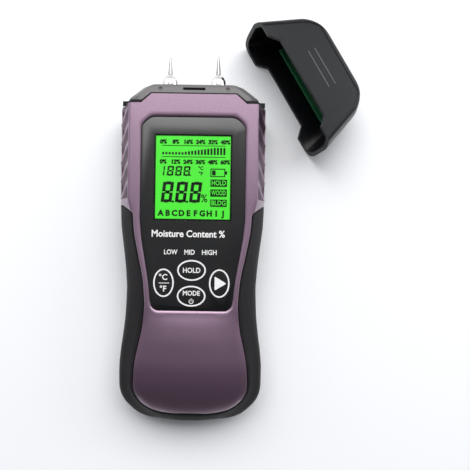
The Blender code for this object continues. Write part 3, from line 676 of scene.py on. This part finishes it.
def soft_rubber(name, colour):
    """Matt elastomer with a fine grain and a patchy bloom."""
    rubber = Finish(name, colour, 0.6, Specular_IOR_Level=0.16)
    grain = rubber.noise(0.00022, 3.0)
    bloom = rubber.noise(0.012, 4.0)
    lighter = tuple(c * 1.3 for c in colour)
    rubber.vary("Base Color", rubber.mix(bloom, tuple(c * 0.8 for c in colour), lighter))
    rubber.vary("Roughness", 0.56 + (bloom - 0.5) * 0.14 + (grain - 0.5) * 0.05)
    return rubber.bump(grain, 0.3, 0.00003)


grip_rubber = soft_rubber("grip_rubber", (0.008, 0.007, 0.008))
grip = skin("soft_grip", [body_ring(y) for y in stations(BOTTOM_END, GRIP_TOP + 4.0)])
trim(grip, PARTING + GAP / 2, True)
cut(grip, edge_tool("grip_opening", GAP / 2, 0.7, 0.6))
cut(grip, skin("grip_core", [
    body_ring(y, GRIP_THICKNESS, None, 1) for y in stations(BOTTOM_END + GRIP_THICKNESS, 40.0, 4.0)
]))
settle(grip, "meter", "grip_rubber", grip_rubber, "grip_cover")


# --- Circuit board and what is on it -------------------------------------------------------
# A green fibreglass board screwed to the front shell, with a dome switch under each key, the
# controller, and the backlight and conductive strip that serve the display.

def circuit_board(name):
    """Green solder mask over copper tracks."""
    board = Finish(name, (0.012, 0.10, 0.045), 0.35)
    tracks = board.node("TexBrick", {"offset": 0.5}, {
        "Vector": board.place(), "Scale": 400.0, "Mortar Size": 0.12, "Mortar Smooth": 0.1,
        "Brick Width": 0.9, "Row Height": 0.35,
    }, 1)
    board.vary("Base Color", board.mix(tracks, (0.012, 0.10, 0.045), (0.03, 0.19, 0.07)))
    board.vary("Roughness", 0.36 + (board.noise(0.002) - 0.5) * 0.1)
    return board.bump(tracks, 0.4, 0.00003)


def metal(name, colour, roughness):
    """Bare or plated metal with faint rubbing marks."""
    bare = Finish(name, colour, roughness, 1.0)
    marks = bare.noise(0.0006, 4.0, (1.0, 0.15, 1.0))
    bare.vary("Roughness", roughness + (marks - 0.5) * 0.12)
    bare.vary("Base Color", bare.mix(marks, tuple(c * 0.88 for c in colour), colour))
    return bare.bump(marks, 0.15, 0.00002)


board_green = circuit_board("board_green")
chip_black = moulded("chip_black", (0.012, 0.012, 0.013), 0.4)
steel = metal("nickel_steel", (0.78, 0.77, 0.74), 0.2)
brass = metal("brass", (0.72, 0.52, 0.24), 0.3)
dress(board_green, "main_board")
dress(chip_black, "controller_chip", "switch_hold", "switch_unit", "switch_next", "switch_mode")
dress(moulded("light_guide", (0.78, 0.84, 0.78), 0.4), "backlight")
dress(moulded("zebra_rubber", (0.16, 0.16, 0.18), 0.7), "zebra_strip")
dress(black_plastic, "lcd_frame")
plunger_white = moulded("plunger_white", (0.66, 0.66, 0.63), 0.5)
dress(plunger_white, "plunger_hold", "plunger_unit", "plunger_next", "plunger_mode")
wire_red = moulded("wire_red", (0.42, 0.03, 0.025), 0.45)
wire_black = moulded("wire_black", (0.02, 0.02, 0.02), 0.45)
dress(wire_red, "battery_lead_red", "pin_lead_left", "pin_lead_right")
dress(wire_black, "battery_lead_black")


# --- Battery and its door ------------------------------------------------------------------
# A standard 9 V block in a steel can with a snap connector, behind a black sliding door with
# thumb grooves. The door slides off towards the bottom end.

can = Finish("battery_can", (0.16, 0.165, 0.18), 0.32, 0.75)
brushing = can.noise(0.0008, 4.0, (1.0, 0.06, 1.0))
can.vary("Base Color", can.mix(brushing, (0.12, 0.125, 0.14), (0.2, 0.205, 0.22)))
can.vary("Roughness", 0.3 + (brushing - 0.5) * 0.15)
can.bump(brushing, 0.2, 0.00003)
dress(can, "battery")
dress(black_plastic, "battery_snap", "battery_door")
dress(steel, "shell_screw_1", "shell_screw_2", "shell_screw_3", "shell_screw_4")


# --- Display -------------------------------------------------------------------------------
# A segment LCD in reverse: a glass plate lit green from behind, with dark scales, bars, digits
# and letters, seen through a clear window in the overlay.

GLASS_TOP = 25.4
MARK_THICKNESS = 0.05
lcd_green = Finish("lcd_green", (0.02, 0.10, 0.015), 0.35)
lcd_green.shader.inputs["Emission Strength"].default_value = 0.92
glow = lcd_green.noise(0.02, 2.0)
lcd_green.vary("Emission Color", lcd_green.mix(glow, (0.05, 0.79, 0.015), (0.07, 0.87, 0.025)))
dress(lcd_green, "lcd_glass")
lens = Finish("window_clear", (0.95, 0.98, 0.95), 0.03, 0.0, Transmission_Weight=1.0, IOR=1.25)
lens.vary("Roughness", 0.01 + lens.noise(0.01) * 0.02)
dress(lens, "lcd_window")
segment_dark = Finish("segment_dark", (0.002, 0.008, 0.002), 0.4, Specular_IOR_Level=0.1)
segment_dark.vary("Roughness", 0.4 + (segment_dark.noise(0.004) - 0.5) * 0.1)

marks = []


def bar(x0, x1, y0, y1, lean=0.0, height=GLASS_TOP):
    """A thin printed block, optionally leaning to the right."""
    outline = [(x0, y0), (x1, y0), (x1 + lean, y1), (x0 + lean, y1)]
    marks.append(slab("mark", outline, height, height + MARK_THICKNESS))


def words(text, x, y, size, height, heavy=0.0, width=None):
    """A line of plain lettering centred on a place, as a thin printed form."""
    bpy.ops.object.select_all(action="DESELECT")
    bpy.ops.object.text_add(location=(0.0, 0.0, 0.0))
    line = bpy.context.object
    line.data.body = text
    line.data.align_x = "CENTER"
    line.data.align_y = "CENTER"
    line.data.size = size * MM
    line.data.offset = heavy * MM
    line.data.extrude = MARK_THICKNESS / 2 * MM
    line.data.resolution_u = 3
    bpy.ops.object.convert(target="MESH")
    stretch = width * MM / line.dimensions.x if width else 1.0
    line.data.transform(Matrix.Diagonal((stretch, 1.0, 1.0, 1.0)))
    line.data.transform(Matrix.Translation(Vector((x, y, height + MARK_THICKNESS / 2)) * MM))
    marks.append(line)


def digit(x, y, width, height, stroke, lit="abcdefg", lean=0.12):
    """A seven-segment digit whose lower left corner is at a place."""
    gap = stroke * 0.18
    middle = y + height / 2
    half = stroke / 2
    bars = {
        "a": (x + stroke, x + width - stroke, y + height - stroke, y + height),
        "d": (x + stroke, x + width - stroke, y, y + stroke),
        "g": (x + stroke, x + width - stroke, middle - half, middle + half),
        "f": (x, x + stroke, middle + gap, y + height - gap),
        "b": (x + width - stroke, x + width, middle + gap, y + height - gap),
        "e": (x, x + stroke, y + gap, middle - gap),
        "c": (x + width - stroke, x + width, y + gap, middle - gap),
    }
    for name in lit:
        x0, x1, y0, y1 = bars[name]
        shift = lean * (y0 - y)
        bar(x0 + shift, x1 + shift, y0, y1, lean * (y1 - y0))


def gather(name):
    """Joins the loose marks into one piece."""
    bpy.ops.object.select_all(action="DESELECT")
    for mark in marks:
        mark.select_set(True)
    bpy.context.view_layer.objects.active = marks[0]
    bpy.ops.object.join()
    piece = bpy.context.object
    piece.name = name
    marks.clear()
    return piece


SCALE_LEFT = -12.75
for index in range(6):
    x = SCALE_LEFT + 5.27 * index
    words(f"{8 * index}%", x, 47.3, 2.3, GLASS_TOP, 0.16)
    words(f"{12 * index}%", x, 38.8, 2.3, GLASS_TOP, 0.16)
bar(-13.2, 13.7, 45.62, 45.9)
bar(-13.2, 13.7, 40.85, 41.13)
for index in range(20):
    x = SCALE_LEFT + 1.365 * index
    height = 1.0 if index < 7 else 1.0 + 0.2 * (index - 6)
    bar(x - 0.42, x + 0.42, 41.95, 41.95 + min(height, 3.0))
digit(-13.3, 32.9, 1.0, 4.1, 0.55, "bc")
for index in range(3):
    digit(-11.2 + 3.5 * index, 32.9, 2.7, 4.2, 0.72)
bar(-1.55, -0.9, 32.9, 33.5)
words("\u00b0C", 3.3, 36.2, 2.0, GLASS_TOP, 0.08)
words("\u00b0F", 3.3, 33.9, 2.0, GLASS_TOP, 0.08)
for index in range(3):
    digit(-13.6 + 6.0 * index, 21.5, 4.6, 9.0, 1.35)
bar(-8.85, -7.95, 21.5, 22.4)
bar(-2.85, -1.95, 21.5, 22.4)
words("%", 4.9, 23.3, 4.6, GLASS_TOP, 0.08, 2.7)
for x0, x1, y0, y1 in (
    (7.4, 13.7, 35.75, 36.15), (7.4, 13.7, 32.6, 33.0), (7.4, 7.8, 32.6, 36.15), (13.3, 13.7, 32.6, 36.15),
    (13.7, 14.5, 33.7, 35.1), (8.1, 9.6, 33.3, 35.4),
):
    bar(x0, x1, y0, y1)
STATUS_WORDS = (("HOLD", 30.0), ("WOOD", 25.8), ("BLDG", 21.5))
for _, y in STATUS_WORDS:
    bar(7.5, 14.5, y - 1.55, y + 1.55)
bar(-17.2, 17.2, 49.85, 51.2)
bar(-17.2, 17.2, 13.3, 14.65)
bar(-17.2, -15.85, 13.3, 51.2)
bar(15.85, 17.2, 13.3, 51.2)
for index, letter in enumerate("ABCDEFGHIJ"):
    words(letter, -13.5 + 2.95 * index, 16.95, 3.3, GLASS_TOP, 0.17)
settle(gather("lcd_segments"), "meter", "lcd_green", segment_dark)
for text, y in STATUS_WORDS:
    words(text, 11.0, y, 2.9, GLASS_TOP + MARK_THICKNESS, 0.05, 6.0)
settle(gather("lcd_open_letters"), "meter", "lcd_green", lcd_green)


# --- Overlay -------------------------------------------------------------------------------
# A gloss black polycarbonate sheet printed on its back, glued into the lipped recess. It has a
# clear window over the display, a hole for each key and white lettering.

def gloss_black(name):
    """Gloss film over black print, with faint wiping marks."""
    film = Finish(name, (0.005, 0.005, 0.0055), 0.3, Coat_Weight=0.25, Coat_Roughness=0.2)
    wipe = film.noise(0.02, 4.0, (1.0, 0.4, 1.0))
    film.vary("Roughness", 0.29 + wipe.band(0.45, 0.75) * 0.06)
    film.vary("Base Color", film.mix(wipe, (0.004, 0.004, 0.0045), (0.006, 0.006, 0.0065)))
    return film.bump(film.noise(0.006), 0.05, 0.00005)


overlay_print = gloss_black("overlay_print")
sheet_rings = [(0.0, 25.8), (0.0, 26.18), (-0.05, 26.26), (-0.14, OVERLAY_TOP)]
overlay = skin("overlay_sheet", [[(x, y, z) for x, y in panel_edge(grow)] for grow, z in sheet_rings])
cut(overlay, slab("window_cut", rectangle(-16.55, 16.55, 13.95, 50.55, 1.0), 20.0, 30.0))
for _, x, y, width, height in KEYS:
    cut(overlay, slab("key_hole", oval(x, y, width + 0.5, height + 0.5), 20.0, 30.0))
settle(overlay, "meter", "overlay_print", overlay_print, "overlay_panel")

white_ink = Finish("white_ink", (0.80, 0.80, 0.80), 0.4)
specks = white_ink.noise(0.0004)
white_ink.vary("Base Color", white_ink.mix(specks, (0.74, 0.74, 0.74), (0.86, 0.86, 0.86)))
PRINT_HEIGHT = OVERLAY_TOP - 0.02
words("Moisture Content %", -1.7, 8.2, 4.0, PRINT_HEIGHT, 0.09, 31.0)
words("LOW", -9.0, 0.45, 2.9, PRINT_HEIGHT, 0.05, 5.7)
words("MID", -1.0, 0.45, 2.9, PRINT_HEIGHT, 0.05, 4.4)
words("HIGH", 7.4, 0.45, 2.9, PRINT_HEIGHT, 0.05, 6.2)
settle(gather("overlay_lettering"), "meter", "overlay_print", white_ink)


# --- Keys ----------------------------------------------------------------------------------
# Four oval keys of the same gloss film over stiff plungers, each ringed in white and marked with
# what it does. Each moves down a little on its own switch.

KEY_TOP = 26.6
KEY_RING = 0.62
KEY_CROWN = (
    (0.0, 25.8), (0.0, 26.36), (0.08, 26.46), (0.24, 26.52), (1.4, 26.56), (3.0, 26.585), (5.0, KEY_TOP),
)
for name, x, y, width, height in KEYS:
    rings = [[(px, py, z) for px, py in oval(x, y, width - shrink, height - shrink)] for shrink, z in KEY_CROWN]
    settle(skin(f"key_cap_{name}", rings), f"key_{name}", "overlay_print", overlay_print, f"key_{name}")
    ring = slab("key_ring", oval(x, y, width - 0.3, height - 0.3, 96), 26.45, KEY_TOP - 0.035)
    inside = oval(x, y, width - 0.3 - 2 * KEY_RING, height - 0.3 - 2 * KEY_RING, 96)
    marks.append(cut(ring, slab("ring_inside", inside, 26.0, 27.0)))
    level = KEY_TOP - 0.02
    if name == "hold":
        words("HOLD", x, y - 0.1, 3.0, level, 0.06, 7.4)
    elif name == "mode":
        words("MODE", x, y + 1.15, 2.8, level, 0.06, 7.2)
        arc = [math.radians(-235.0 + 290.0 * step / 20) for step in range(21)]
        symbol = [(x + 1.05 * math.cos(a), y - 2.2 + 1.05 * math.sin(a)) for a in arc]
        symbol += [(x + 0.75 * math.cos(a), y - 2.2 + 0.75 * math.sin(a)) for a in reversed(arc)]
        marks.append(slab("power", symbol, level, level + MARK_THICKNESS))
        bar(x - 0.15, x + 0.15, y - 2.2, y - 0.95, 0.0, level)
    elif name == "unit":
        words("\u00b0C", x - 0.2, y + 2.3, 3.4, level, 0.07)
        words("\u00b0F", x - 0.2, y - 2.6, 3.4, level, 0.07)
        bar(x - 2.0, x + 2.4, y - 0.22, y + 0.06, 0.0, level)
    else:
        arrow = [(x - 2.0, y - 3.0), (x + 3.0, y), (x - 2.0, y + 3.0)]
        marks.append(slab("arrow", rounded(arrow, [0.5] * 3, 3), level, level + MARK_THICKNESS))
    settle(gather(f"key_print_{name}"), f"key_{name}", "overlay_print", white_ink)


# --- Probe head and its gasket -------------------------------------------------------------
# A dark grey carrier for the pins with a plug that reaches into the shells, a snap slot for the
# cap and a dimple on either side of it. A black gasket seals it to the shoulders.

HEAD_STATIONS = (
    (65.3, 28.5, 4.0, 23.8), (67.0, 28.3, 4.2, 23.6), (67.7, 27.7, 4.3, 23.5), (70.1, 24.8, 4.6, 23.1),
    (72.1, 22.4, 5.0, 22.5), (72.6, 21.7, 5.3, 22.1), (72.9, 20.9, 6.0, 21.4),
)
PIN_X = 10.7
PIN_Z = 14.0


def head_ring(y, half, back, front, rounding=1.2):
    """The head's cross-section: flat front and back with rounded chamfers."""
    right = [(half - 3.0, back), (half, back + 3.0), (half, front - 5.0), (half - 4.0, front)]
    corners = right + [(-x, z) for x, z in reversed(right)]
    return [(x, y, z) for x, z in rounded(corners, [rounding] * 8, 4)]


head_plastic = moulded("head_plastic", (0.098, 0.092, 0.093), 0.42)
spots = [HEAD_STATIONS[0][0] + 0.4 * step for step in range(15)]
spots += [71.4, 71.8, 72.1, 72.4, 72.6, 72.8, 72.9]
head_tables = [[(row[0], row[column]) for row in HEAD_STATIONS] for column in (1, 2, 3)]
head = skin("pin_carrier", [head_ring(y, *(along(table, y) for table in head_tables)) for y in spots])
cut(head, skin("head_plug", [head_ring(y, 20.5, 5.0, 22.0) for y in (60.0, 66.0)]), "UNION")
cut(head, slab("head_hollow", rectangle(-17.5, 17.5, 50.0, 66.5), 7.0, 20.0))
cut(head, slab("snap_slot", rectangle(-4.8, 4.8, 70.05, 71.25, 0.35), 21.2, 30.0))
DIMPLE = ((0.02, 22.45), (0.5, 22.5), (0.85, 22.75), (1.05, 23.2), (1.1, 26.0))
SOCKET_BORE = ((2.9, 60.0), (2.9, 72.5), (3.5, 73.2), (3.5, 80.0))
for side in (-1, 1):
    cut(head, round_bar("dimple", DIMPLE, "Z", (side * 14.5, 70.7, 0.0)))
    cut(head, round_bar("socket_bore", SOCKET_BORE, "Y", (side * PIN_X, 0.0, PIN_Z)))
gasket_rubber = soft_rubber("gasket_rubber", (0.010, 0.010, 0.011))


def seal_band(name, near, far, low, high):
    """A band that follows the front tongue's edge and runs out along both shoulders."""
    path = mirrored(((0.0, 67.4), (17.9, 67.4), (22.7, 63.3), (30.4, 63.3)))[:4]
    right = []
    for distance, points in ((near, path), (far, path[::-1])):
        for x, y in points:
            slant = distance * (0.45 if x in (17.9, 22.7) else 0.0)
            right.append((x + slant, y + distance))
    return slab(name, right + [(-x, y) for x, y in reversed(right)], low, high)


cut(head, seal_band("seal_groove", -1.0, 1.45, 23.1, 30.0))
settle(head, "meter", "head_plastic", head_plastic, "probe_head")
settle(seal_band("tongue_seal", -0.6, 1.4, 23.1, 23.75), "meter", "gasket_rubber", gasket_rubber)
dress(gasket_rubber, "head_gasket")
dress(brass, "pin_socket_left", "pin_socket_right")


# --- Pins and nuts -------------------------------------------------------------------------
# Hardened steel needles about 2 mm thick, tapering to a point, each clamped in its brass socket
# by a nickel-plated hexagonal nut with a domed end, which unscrews to change the pin.

NEEDLE = (
    (0.7, 67.5), (1.0, 67.8), (1.0, 79.6), (0.97, 80.2), (0.85, 82.0), (0.69, 84.0), (0.5, 86.0),
    (0.27, 87.5), (0.05, 88.7),
)
NUT_CORNER = 3.75
NUT_DOME = (
    (3.2, 73.3), (3.5, 73.5), (3.62, 74.0), (3.6, 74.8), (3.5, 75.6), (3.3, 76.4), (2.98, 77.2),
    (2.5, 77.95), (2.0, 78.5), (1.5, 78.9), (1.3, 79.1),
)
NUT_BORE = ((1.3, 70.0), (1.3, 78.7), (1.6, 79.3))
needle_steel = metal("needle_steel", (0.36, 0.355, 0.35), 0.32)
for side, label in ((-1, "left"), (1, "right")):
    x = side * PIN_X
    pin = round_bar(f"needle_{label}", NEEDLE, "Y", (x, 0.0, PIN_Z), 40)
    settle(pin, "meter", "steel", needle_steel, f"pin_{label}")
    hexagon = [math.radians(60.0 * corner + 30.0) for corner in range(6)]
    flat = [(x + NUT_CORNER * math.cos(angle), PIN_Z + NUT_CORNER * math.sin(angle)) for angle in hexagon]
    flat = rounded(flat, [0.25] * 6, 2)
    nut = skin(f"hex_nut_{label}", [[(a, y, b) for a, b in flat] for y in (73.3, 79.1)])
    cut(nut, round_bar("nut_dome", NUT_DOME, "Y", (x, 0.0, PIN_Z), 48), "INTERSECT")
    cut(nut, round_bar("nut_bore", NUT_BORE, "Y", (x, 0.0, PIN_Z)))
    settle(nut, f"pin_nut_{label}", "steel", steel, f"pin_nut_{label}")


# --- Cap -----------------------------------------------------------------------------------
# A satin black cap that snaps over the head, lying off the meter. Two low ridges
# give it grip, and screwed in it is a small check board with a contact for each pin.

CAP_LENGTH = 28.5
CAP_HALF_WIDTH = 31.4
CAP_WALL = 1.8
CAP_EDGE = 3.0
CAP_CORNER = 9.5
CAP_BEVEL = 3.8
CAP_SLOPE = math.tan(math.radians(18.0))
CAP_TAPER = math.tan(math.radians(9.5))
CAP_SCREW_X = 16.2
CAP_SCREW_Y = 16.0
CAP_BOARD_TOP = 8.5
cap_place = (
    Matrix.Translation(Vector((38.8, 71.4, 0.0)) * MM)
    @ Matrix.Rotation(math.radians(-59.0), 4, "Z") @ Matrix.Rotation(math.radians(-9.5), 4, "X")
)


def drawn_in(s, radius):
    """How far a round edge of a radius at the cap's closed end draws its outside in."""
    return radius - math.sqrt(max(radius**2 - max(s - CAP_LENGTH + radius, 0.0) ** 2, 0.0))


def cap_ring(s, inset=0.0):
    """The cap's cross-section at a distance from its mouth, in its own frame."""
    half = CAP_HALF_WIDTH - CAP_SLOPE * s - drawn_in(s, CAP_CORNER) - inset
    edge = drawn_in(s, CAP_EDGE)
    back = CAP_TAPER * s + edge * 0.5 + inset
    front = FRONT - CAP_TAPER * s - edge - inset
    flat = half - CAP_BEVEL + inset * 0.4
    height = front - back
    right = [
        (half - 5.0, back), (half - 2.0, back + 0.045 * height), (half - 0.5, back + 0.15 * height),
        (half, back + 0.33 * height), (half, back + 0.76 * height),
        (flat + 0.45 * (half - flat), front - 0.036 * height), (flat, front),
        (flat * 0.72, front), (flat * 0.38, front),
    ]
    radii = [3.0, 3.0, 3.0, 3.0, 1.2, 1.0, 1.7, 3.0, 3.0]
    corners = right + [(-x, z) for x, z in reversed(right)]
    return [(x, s, z) for x, z in rounded(corners, radii + radii[::-1], 4)]


def cap_skin(name, inset, start, stop):
    """The cap's outside, or its hollow when inset."""
    spots = [0.0, 0.3, 3.0, 6.0, 9.0, 12.0, 15.0, 17.5, 19.0, 20.0, 21.0, 22.0, 23.0, 24.0]
    spots += [24.8, 25.5, 26.1, 26.7, 27.2, 27.6, 27.9, 28.15, 28.3, 28.42]
    inner = [s for s in spots if start + 0.1 < s < stop - 0.05]
    rings = [cap_ring(max(s, 0.0), inset) for s in [start] + inner + [stop]]
    rings[0] = [(x, start, z) for x, _, z in rings[0]]
    return skin(name, rings)


def lay(piece):
    """Puts a piece built in the cap's own frame where the cap lies."""
    piece.data.transform(cap_place)
    return piece


cap_plastic = moulded("cap_plastic", (0.005, 0.0055, 0.0065), 0.28, Specular_IOR_Level=0.18)
cap = cap_skin("cap_moulding", 0.0, 0.0, CAP_LENGTH)
cut(cap, cap_skin("cap_hollow", CAP_WALL, -4.0, CAP_LENGTH - CAP_WALL))
cut(cap, slab("front_notch", mirrored(((18.2, 4.2), (23.2, -0.8))), 14.0, 40.0))
cut(cap, slab("back_notch", mirrored(((15.6, 4.2), (20.6, -0.8))), -10.0, 14.0))


def cap_front_edge(distance):
    """The border of the cap's flat front, moved inwards by a distance."""
    spots = [-6.0, 4.0, 10.0, 15.0, 19.0, 20.5, 22.0, 23.2, 24.2, 24.9, 25.4, 25.7]
    right = [(CAP_HALF_WIDTH - CAP_SLOPE * s - drawn_in(s, CAP_CORNER) - CAP_BEVEL, s) for s in spots]
    return grown(mirrored(right), -distance)


def on_cap_front(name, outline, low, high):
    """A form over an outline on the cap's sloping front, between two levels measured from it."""
    return skin(name, [[(x, s, FRONT - CAP_TAPER * s + lift) for x, s in outline] for lift in (low, high)])


groove = on_cap_front("border_line", cap_front_edge(0.3), -0.3, 2.0)
cut(cap, cut(groove, on_cap_front("border_island", cap_front_edge(0.75), -1.0, 4.0)))
for start in (12.9, 16.5):
    marks.append(skin("grip_ridge", [
        [
            (x, s, FRONT - CAP_TAPER * s + lift)
            for s, lift in (
                (start - 0.02, -0.5), (start, 0.05), (start + 0.08, 0.16), (start + 0.2, 0.19),
                (start + 0.3, 0.19), (start + 0.42, 0.16), (start + 0.5, 0.05), (start + 0.52, -0.5),
            )
        ]
        for x in (-8.9, 8.9)
    ]))
# The ridges are coloured lighter than the cap: a painted highlight for the light lines they catch.
ridge_painted_highlight = moulded("ridge_painted_highlight", (0.075, 0.078, 0.082), 0.36)
settle(lay(gather("cap_ridges")), "cap", "cap_plastic", ridge_painted_highlight)
for side in (-1, 1):
    place = (side * CAP_SCREW_X, CAP_SCREW_Y, 0.0)
    cut(cap, round_bar("cap_boss", ((2.4, 3.0), (2.4, 6.8)), "Z", place), "UNION")
    cut(cap, round_bar("cap_bore", ((1.1, 4.6), (1.1, 9.0)), "Z", place))
settle(lay(cap), "cap", "cap_plastic", cap_plastic, "cap_shell")

dress(board_green, "cap_board")
dress(chip_black, "cap_resistor")
dress(steel, "cap_contact_left", "cap_contact_right")
BOARD_SCREW = (
    (0.9, -1.9), (0.9, 0.3), (2.2, 0.31), (2.25, 0.9), (2.15, 1.35), (1.8, 1.75), (1.2, 1.98), (0.4, 2.05),
)
for side, label in ((-1, "left"), (1, "right")):
    x, y = side * CAP_SCREW_X, CAP_SCREW_Y
    screw = round_bar(f"board_screw_{label}", BOARD_SCREW, "Z", (x, y, CAP_BOARD_TOP))
    for along_x, along_y in ((1.3, 0.25), (0.25, 1.3)):
        slot = rectangle(x - along_x, x + along_x, y - along_y, y + along_y)
        cut(screw, slab("slot", slot, CAP_BOARD_TOP + 1.2, 14.0))
    settle(lay(screw), "cap", "steel", steel, f"cap_screw_{label}")
